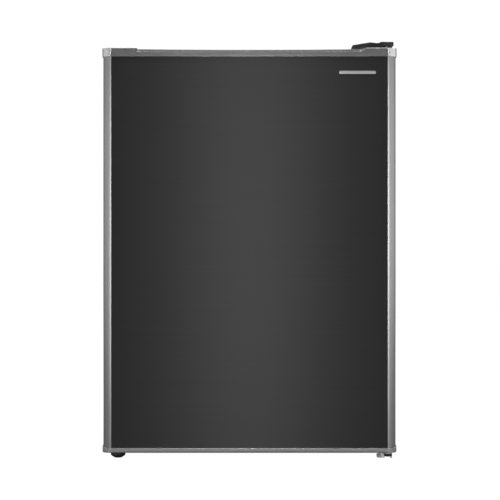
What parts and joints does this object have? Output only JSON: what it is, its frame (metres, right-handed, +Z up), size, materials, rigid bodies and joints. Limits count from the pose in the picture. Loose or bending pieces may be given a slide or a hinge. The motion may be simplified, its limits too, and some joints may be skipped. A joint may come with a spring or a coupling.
{
  "type": "mini fridge",
  "caption": "Compact free-standing refrigerator: dark flat door with silver edge trims, finger pocket on top, inner freezer box, glass shelves, drawer and rear condenser.",
  "frame": {"origin": "on the floor, under the middle of the overall bounding box", "axes": "+Z up; the door faces -Y and its hinge is at +X; +Y points to the wall behind"},
  "size_m": [0.448, 0.47, 0.6486],
  "materials": {
    "black_steel": "satin black enamel",
    "door_sheet": "fine-brushed black",
    "silver_trim": "silver lacquer, satin",
    "silver_cap": "silver-grey lacquer, satin",
    "foam": "polyurethane foam",
    "white_liner": "vacuum-formed, glossy",
    "white_moulding": "fine satin",
    "clear_plastic": "translucent",
    "shelf_glass": "tempered",
    "seal_vinyl": "soft satin",
    "magnet": "bonded ferrite strip",
    "black_plastic": "fine texture",
    "zinc_steel": "zinc plated",
    "galvanised": "galvanised, spangled",
    "badge_metal": "brushed",
    "plate_aluminium": "embossed roll-bond",
    "nylon": "natural",
    "compressor_paint": "semi-gloss black",
    "copper": "drawn copper tube",
    "black_wire": "satin black",
    "black_rubber": "matt"
  },
  "bodies": {
    "cabinet": {"left_side_panel": "black_steel", "right_side_panel": "black_steel", "top_panel": "black_steel", "back_panel": "galvanised", "base_pan": "galvanised", "cabinet_insulation": "foam", "inner_liner": "white_liner", "top_hinge_bracket": "zinc_steel", "top_hinge_pin": "zinc_steel", "top_hinge_screws": "zinc_steel", "hinge_cover": "black_plastic", "hinge_hole_plugs": "black_plastic", "bottom_hinge_bracket": "black_steel", "bottom_hinge_pin": "black_steel", "bottom_hinge_screws": "zinc_steel", "rear_feet": "black_plastic", "evaporator_box": "plate_aluminium", "freezer_surround": "white_moulding", "drip_tray_rails": "white_moulding", "thermostat_housing": "white_moulding", "thermostat_switch": "zinc_steel", "upper_shelf_glass": "shelf_glass", "upper_shelf_trim": "white_moulding", "lower_shelf_glass": "shelf_glass", "lower_shelf_trim": "white_moulding", "compressor_tray": "galvanised", "compressor": "compressor_paint", "compressor_grommets": "black_rubber", "compressor_bolts": "zinc_steel", "starter_cover": "black_plastic", "suction_pipe": "copper", "discharge_pipe": "copper", "filter_drier": "copper", "capillary_tube": "copper", "condenser_tube": "black_wire", "condenser_wires": "black_wire", "condenser_clips": "zinc_steel", "wall_spacers": "black_plastic", "cord_bush": "black_rubber"},
    "door": {"door_skin": "door_sheet", "left_edge_trim": "silver_trim", "right_edge_trim": "silver_trim", "door_top_cap": "silver_cap", "door_bottom_cap": "silver_cap", "hinge_bushes": "nylon", "door_liner": "white_liner", "door_insulation": "foam", "door_gasket": "seal_vinyl", "gasket_magnet": "magnet", "bottle_rack": "clear_plastic", "middle_rack": "clear_plastic", "upper_rack": "clear_plastic", "door_badge": "badge_metal"},
    "freezer_flap": {"freezer_flap": "white_moulding"},
    "drip_tray": {"drip_tray": "clear_plastic"},
    "crisper": {"crisper_drawer": "clear_plastic"},
    "dial": {"thermostat_dial": "white_moulding"},
    "left_foot": {"left_levelling_foot": "black_plastic"},
    "right_foot": {"right_levelling_screw": "zinc_steel"}
  },
  "joints": [
    {"name": "door_swing", "type": "hinge", "parent": "cabinet", "child": "door", "pos_m": [0.212, -0.213, 0.325], "axis": [0, 0, 1], "range_deg": [0, 120]},
    {"name": "freezer_flap_tilt", "type": "hinge", "parent": "cabinet", "child": "freezer_flap", "pos_m": [-0.0265, -0.071, 0.485], "axis": [1, 0, 0], "range_deg": [0, 90]},
    {"name": "drip_tray_slide", "type": "slide", "parent": "cabinet", "child": "drip_tray", "axis": [0, -1, 0], "range_m": [0, 0.09]},
    {"name": "crisper_slide", "type": "slide", "parent": "cabinet", "child": "crisper", "axis": [0, -1, 0], "range_m": [0, 0.1]},
    {"name": "thermostat_turn", "type": "hinge", "parent": "cabinet", "child": "dial", "pos_m": [0.149, -0.06, 0.548], "axis": [0, 1, 0], "range_deg": [0, 270]},
    {"name": "left_foot_height", "type": "slide", "parent": "cabinet", "child": "left_foot", "axis": [0, 0, -1], "range_m": [0, 0.01]},
    {"name": "right_foot_height", "type": "slide", "parent": "cabinet", "child": "right_foot", "axis": [0, 0, -1], "range_m": [0, 0.01]}
  ],
  "couplings": [
    {"joint": "crisper_slide", "follows": "door_swing", "m_per_rad": 0.0477}
  ]
}
